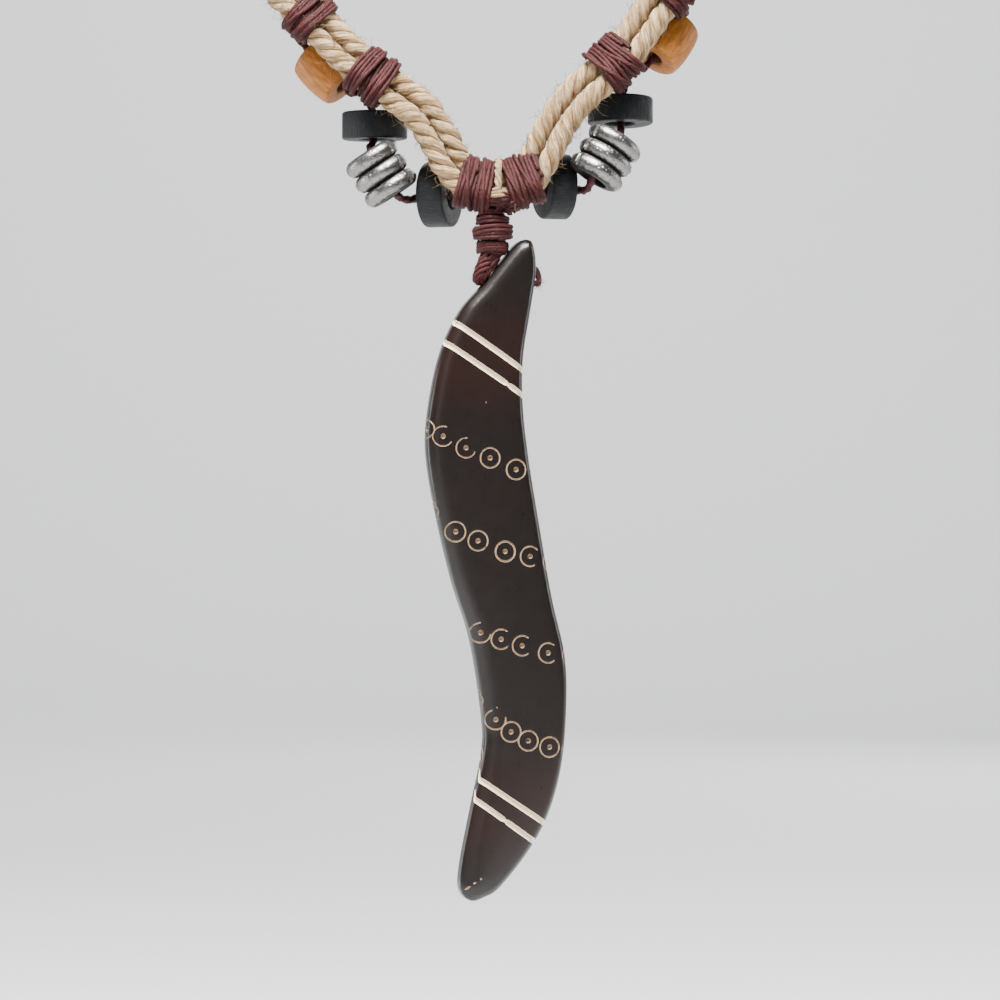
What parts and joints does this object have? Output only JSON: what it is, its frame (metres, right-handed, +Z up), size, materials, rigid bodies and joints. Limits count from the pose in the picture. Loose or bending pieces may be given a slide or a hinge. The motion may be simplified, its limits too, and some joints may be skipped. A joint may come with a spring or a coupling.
{
  "type": "pendant necklace",
  "caption": "Curved throwing-stick pendant of dark bone hanging from a beaded, thread-bound necklace of doubled hemp rope.",
  "frame": {"origin": "where the necklace hangs: the inside of its cord loop at the top", "axes": "+Z up along the hanging necklace, -Y the front of the pendant, +X to the right seen from the front"},
  "size_m": [0.0986, 0.0136, 0.2637],
  "materials": {
    "hemp": "twisted natural hemp, dry",
    "maroon_thread": "waxed maroon thread",
    "waxed_cord": "waxed maroon cord",
    "black_coco": "dyed coconut shell, satin",
    "turned_wood": "varnished light wood",
    "antiqued_silver": "antiqued silver plate",
    "dark_bone": "stained bone, polished"
  },
  "bodies": {
    "necklace": {"outer_rope": "hemp", "inner_rope": "hemp", "left_centre_binding": "maroon_thread", "left_middle_binding": "maroon_thread", "left_upper_binding": "maroon_thread", "right_centre_binding": "maroon_thread", "right_middle_binding": "maroon_thread", "right_upper_binding": "maroon_thread", "left_end_binding": "maroon_thread", "right_end_binding": "maroon_thread", "left_closing_cord": "waxed_cord", "right_closing_cord": "waxed_cord", "left_end_knot": "waxed_cord", "right_end_knot": "waxed_cord", "left_upper_thread": "maroon_thread", "left_lower_thread": "maroon_thread", "right_upper_thread": "maroon_thread", "right_lower_thread": "maroon_thread", "bail_loop": "hemp"},
    "bail": {"bail_binding": "maroon_thread", "bail_strand": "maroon_thread"},
    "pendant": {"boomerang_pendant": "dark_bone"},
    "left_slider": {"left_sliding_knot": "waxed_cord"},
    "right_slider": {"right_sliding_knot": "waxed_cord"},
    "left_barrel": {"left_wood_barrel": "turned_wood"},
    "right_barrel": {"right_wood_barrel": "turned_wood"},
    "left_top_disc": {"left_upper_disc": "black_coco"},
    "left_low_disc": {"left_lower_disc": "black_coco"},
    "right_top_disc": {"right_upper_disc": "black_coco"},
    "right_low_disc": {"right_lower_disc": "black_coco"},
    "left_rings": {"left_ring_bead": "antiqued_silver"},
    "right_rings": {"right_ring_bead": "antiqued_silver"}
  },
  "joints": [
    {"name": "bail_swing", "type": "hinge", "parent": "necklace", "child": "bail", "pos_m": [0, 0, -0.1792], "axis": [1, 0, 0], "range_deg": [-30, 30]},
    {"name": "pendant_swing", "type": "hinge", "parent": "bail", "child": "pendant", "pos_m": [-0.00024, 0, -0.1875], "axis": [0.9744, 0.225, 0], "range_deg": [-6, 75]},
    {"name": "left_knot_slide", "type": "slide", "parent": "necklace", "child": "left_slider", "axis": [-0.4874, 0, -0.8732], "range_m": [-0.005, 0.004]},
    {"name": "right_knot_slide", "type": "slide", "parent": "necklace", "child": "right_slider", "axis": [0.4874, 0, -0.8732], "range_m": [-0.005, 0.004]},
    {"name": "left_barrel_spin", "type": "hinge", "parent": "necklace", "child": "left_barrel", "pos_m": [-0.021, 0.0046, -0.1612], "axis": [0.6826, -0.261, -0.6826], "continuous": true},
    {"name": "left_top_disc_spin", "type": "hinge", "parent": "necklace", "child": "left_top_disc", "pos_m": [-0.0153, 0.0044, -0.1681], "axis": [0, 0, -1], "continuous": true},
    {"name": "left_rings_spin", "type": "hinge", "parent": "necklace", "child": "left_rings", "pos_m": [-0.0144, 0.0013, -0.1741], "axis": [0.5403, 0.04, -0.8405], "continuous": true},
    {"name": "left_low_disc_spin", "type": "hinge", "parent": "necklace", "child": "left_low_disc", "pos_m": [-0.0074, 0.0053, -0.1764], "axis": [0.9404, -0.3401, 0], "continuous": true},
    {"name": "right_barrel_spin", "type": "hinge", "parent": "necklace", "child": "right_barrel", "pos_m": [0.0202, 0.0042, -0.1577], "axis": [-0.5219, -0.3613, -0.7727], "continuous": true},
    {"name": "right_top_disc_spin", "type": "hinge", "parent": "necklace", "child": "right_top_disc", "pos_m": [0.0147, 0.0046, -0.1662], "axis": [0, -0.0599, -0.9982], "continuous": true},
    {"name": "right_rings_spin", "type": "hinge", "parent": "necklace", "child": "right_rings", "pos_m": [0.0128, 0.001, -0.1722], "axis": [-0.5237, -0.1007, -0.8459], "continuous": true},
    {"name": "right_low_disc_spin", "type": "hinge", "parent": "necklace", "child": "right_low_disc", "pos_m": [0.0067, 0.0057, -0.1754], "axis": [-0.9404, -0.3401, 0], "continuous": true}
  ]
}
